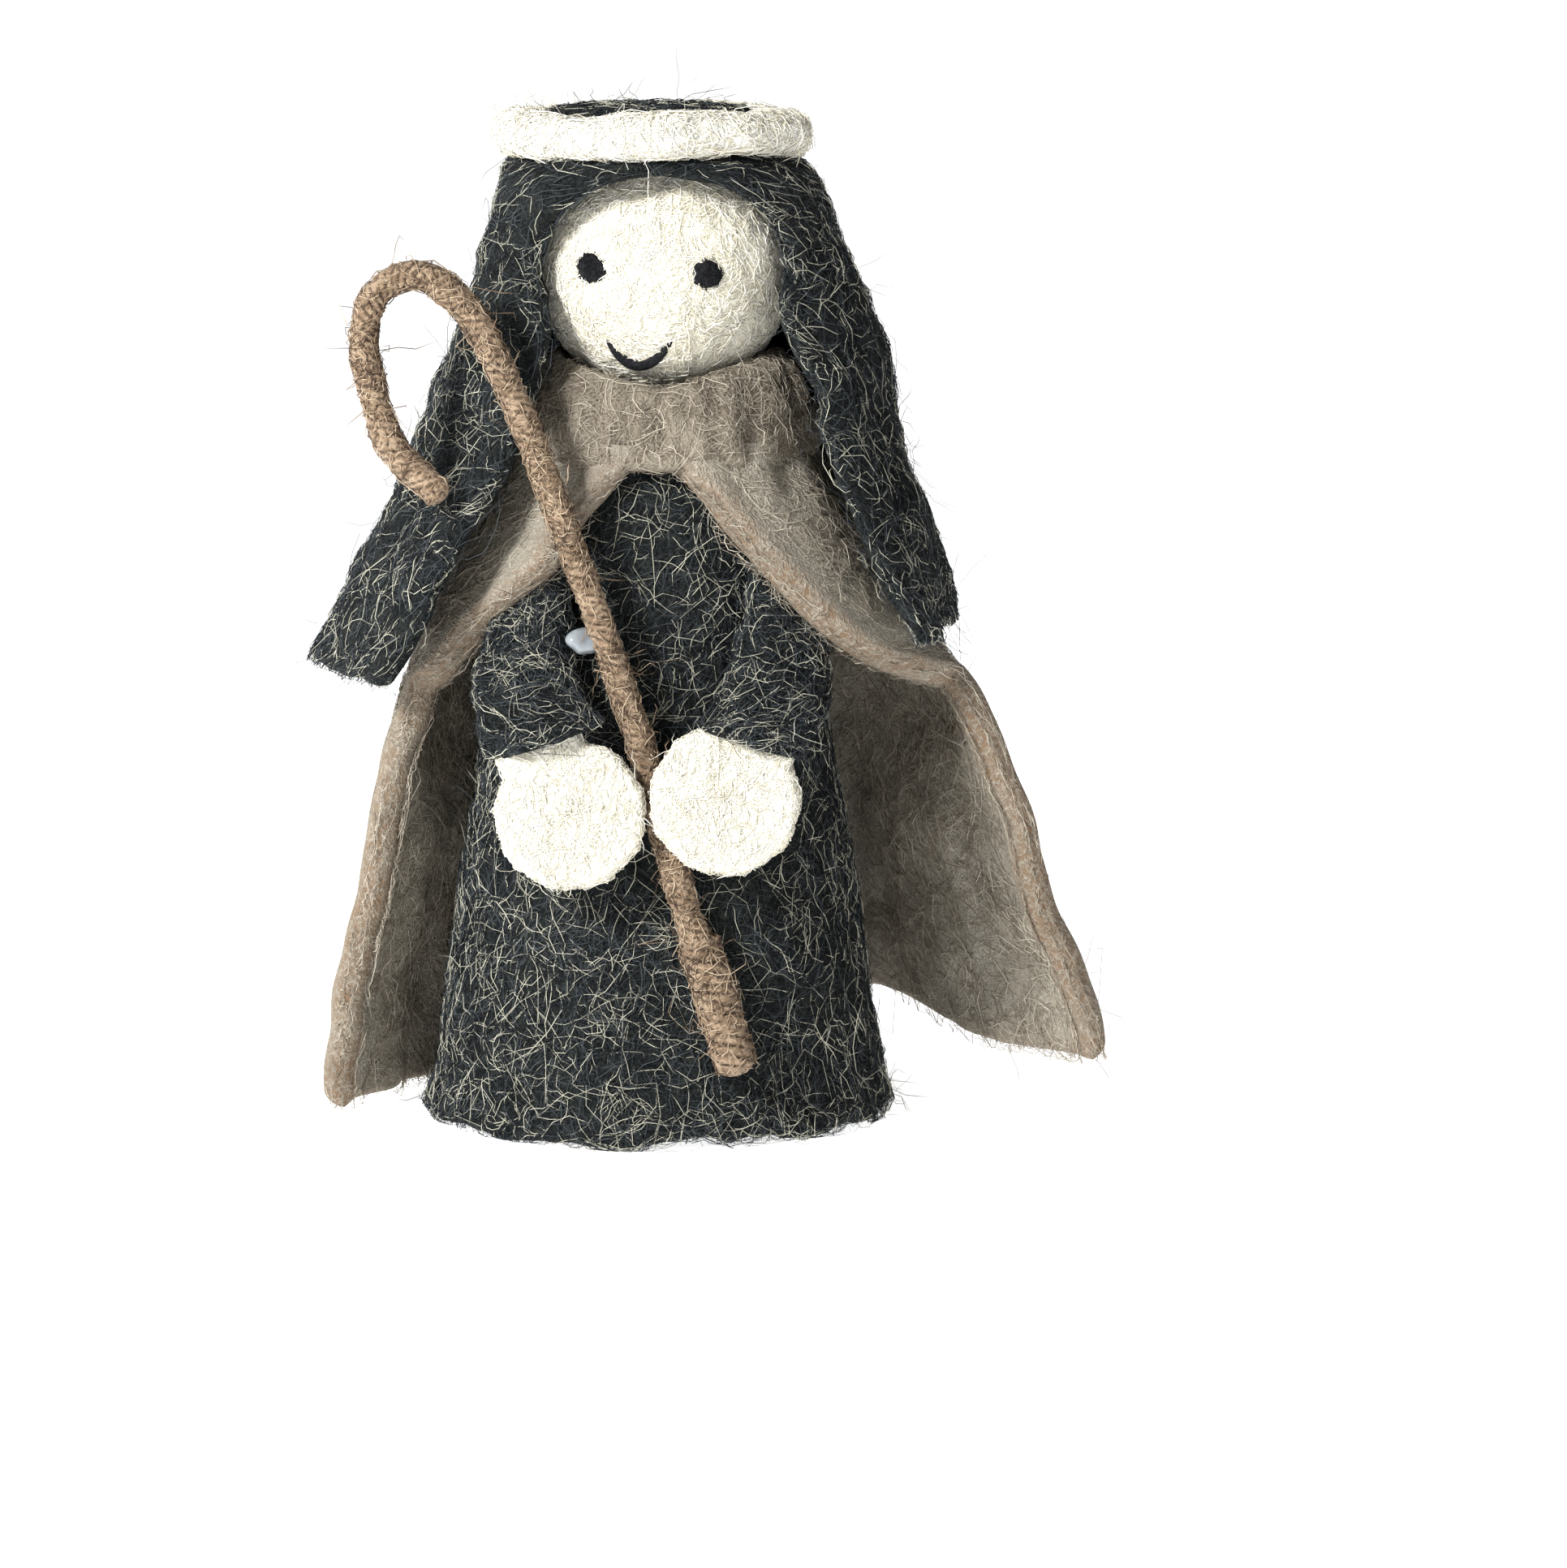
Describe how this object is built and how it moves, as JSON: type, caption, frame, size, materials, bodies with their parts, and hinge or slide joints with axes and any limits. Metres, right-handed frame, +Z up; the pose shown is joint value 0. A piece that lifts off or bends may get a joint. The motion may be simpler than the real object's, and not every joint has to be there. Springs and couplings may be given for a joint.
{
  "type": "felt finger puppet",
  "caption": "Wool felt finger puppet of a shepherd: ball head, head scarf with rolled ring, cape, disc hands and a wool-wound crook.",
  "frame": {"origin": "centre of the robe's round hem, in the plane of the hem", "axes": "+Z up through the robe towards the head; the face looks along -Y; +X is to the right of somebody who looks at the face"},
  "size_m": [0.0822, 0.0576, 0.1046],
  "materials": {
    "charcoal_felt": "matte",
    "taupe_felt": "matte",
    "cream_wool": "matte",
    "white_wool": "matte",
    "white_felt": "matte",
    "black_wool": "matte",
    "brown_wool": "matte",
    "steel_wire": "satin",
    "hot_glue": "gloss"
  },
  "bodies": {
    "robe_body": {"robe": "charcoal_felt", "robe_back_seam": "charcoal_felt", "cape_back": "taupe_felt", "cape_collar": "taupe_felt", "crook_wire": "steel_wire", "crook_wrap": "brown_wool", "crook_foot_wrap": "brown_wool", "glue_spot": "hot_glue"},
    "head": {"head_ball": "cream_wool", "eye_left": "black_wool", "eye_right": "black_wool", "mouth": "black_wool", "head_ring": "white_wool", "scarf_hood": "charcoal_felt"},
    "arm_left": {"sleeve_left": "charcoal_felt", "hand_left": "white_felt"},
    "arm_right": {"sleeve_right": "charcoal_felt", "hand_right": "white_felt"},
    "scarf_flap_left": {"scarf_left": "charcoal_felt"},
    "scarf_flap_right": {"scarf_right": "charcoal_felt"},
    "cape_flap_left": {"cape_left": "taupe_felt"},
    "cape_flap_right": {"cape_right": "taupe_felt"}
  },
  "joints": [
    {"name": "head_nod", "type": "hinge", "parent": "robe_body", "child": "head", "pos_m": [0.0009, 0, 0.075], "axis": [1, 0, 0], "range_deg": [-2, 2], "stiffness_Nm_per_rad": 0.06},
    {"name": "arm_left_lift", "type": "hinge", "parent": "robe_body", "child": "arm_left", "pos_m": [-0.0122, -0.0128, 0.057], "axis": [-1, 0, 0], "range_deg": [0, 14], "stiffness_Nm_per_rad": 0.004},
    {"name": "arm_right_lift", "type": "hinge", "parent": "robe_body", "child": "arm_right", "pos_m": [0.013, -0.0128, 0.057], "axis": [-1, 0, 0], "range_deg": [0, 14], "stiffness_Nm_per_rad": 0.004},
    {"name": "scarf_left_swing", "type": "hinge", "parent": "head", "child": "scarf_flap_left", "pos_m": [-0.02969, -0.00941, 0.05591], "axis": [-0.4498, 0.7138, -0.5368], "range_deg": [0, 9], "stiffness_Nm_per_rad": 0.002},
    {"name": "scarf_right_swing", "type": "hinge", "parent": "head", "child": "scarf_flap_right", "pos_m": [0.02845, -0.00847, 0.05818], "axis": [-0.4072, -0.7818, 0.4723], "range_deg": [0, 9], "stiffness_Nm_per_rad": 0.002},
    {"name": "cape_left_swing", "type": "hinge", "parent": "robe_body", "child": "cape_flap_left", "pos_m": [-0.03179, 0.00726, 0.01762], "axis": [0.1376, 0.6651, -0.7339], "range_deg": [0, 18], "stiffness_Nm_per_rad": 0.002},
    {"name": "cape_right_swing", "type": "hinge", "parent": "robe_body", "child": "cape_flap_right", "pos_m": [0.04008, 0.00841, 0.01959], "axis": [0.125, -0.6498, 0.7498], "range_deg": [0, 18], "stiffness_Nm_per_rad": 0.002}
  ]
}
